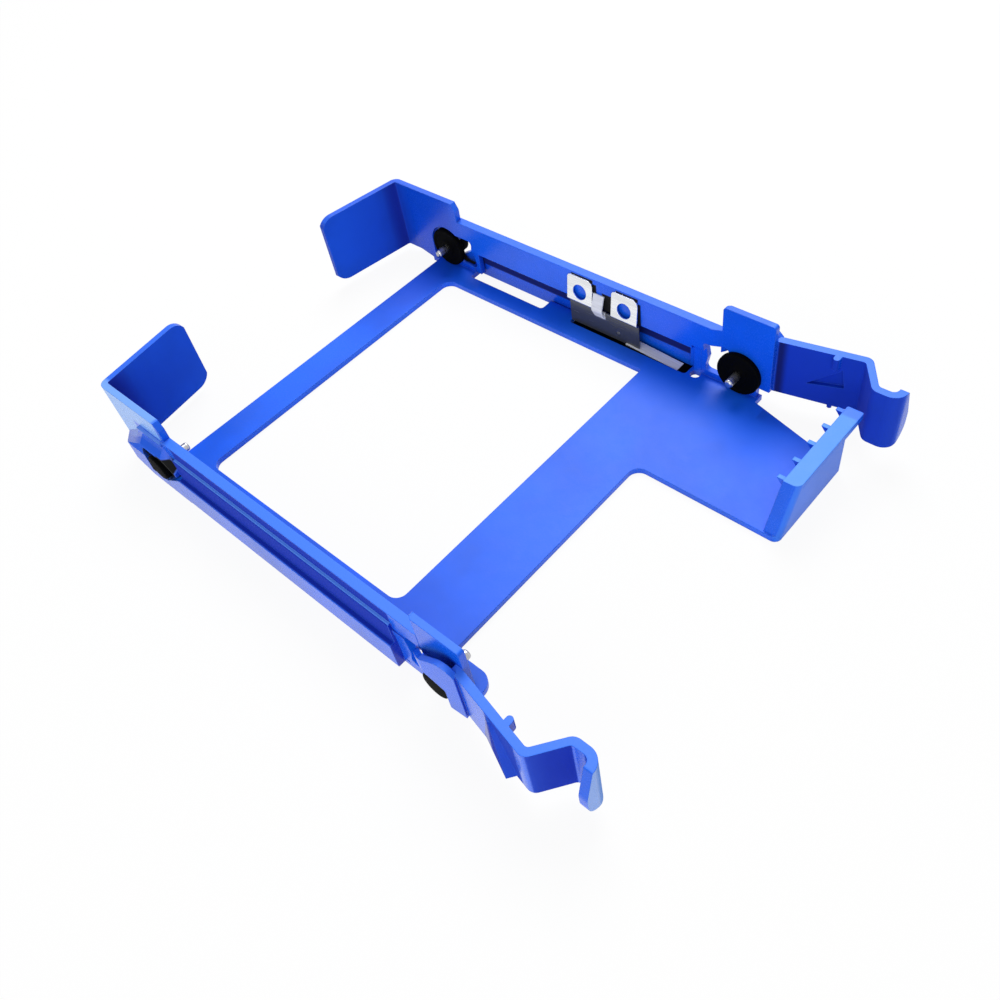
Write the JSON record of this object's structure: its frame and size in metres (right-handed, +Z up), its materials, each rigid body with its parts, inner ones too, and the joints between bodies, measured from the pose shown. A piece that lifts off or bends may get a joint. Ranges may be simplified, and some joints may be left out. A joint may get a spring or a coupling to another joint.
{
  "type": "hard drive caddy",
  "caption": "Open plastic tray that holds a desktop hard drive on rubber-mounted steel pins, with upturned rear ears, side rails and sprung latch arms at the front.",
  "frame": {"origin": "centre of the underside of the whole caddy", "axes": "+X along the rails towards the latch arms, +Y towards the side with the spring clip and the end wall, +Z up out of the tray floor"},
  "size_m": [0.1664, 0.124, 0.0256],
  "materials": {
    "blue_plastic": "satin moulded plastic",
    "black_rubber": "smooth black rubber",
    "pin_steel": "turned bright steel",
    "clip_steel": "bright spring steel"
  },
  "bodies": {
    "root": {"caddy_frame": "blue_plastic", "grommet_far_front": "black_rubber", "grommet_far_rear": "black_rubber", "grommet_near_front": "black_rubber", "grommet_near_rear": "black_rubber", "pin_far_front": "pin_steel", "pin_far_rear": "pin_steel", "pin_near_front": "pin_steel", "pin_near_rear": "pin_steel", "ground_clip": "clip_steel"}
  },
  "joints": []
}
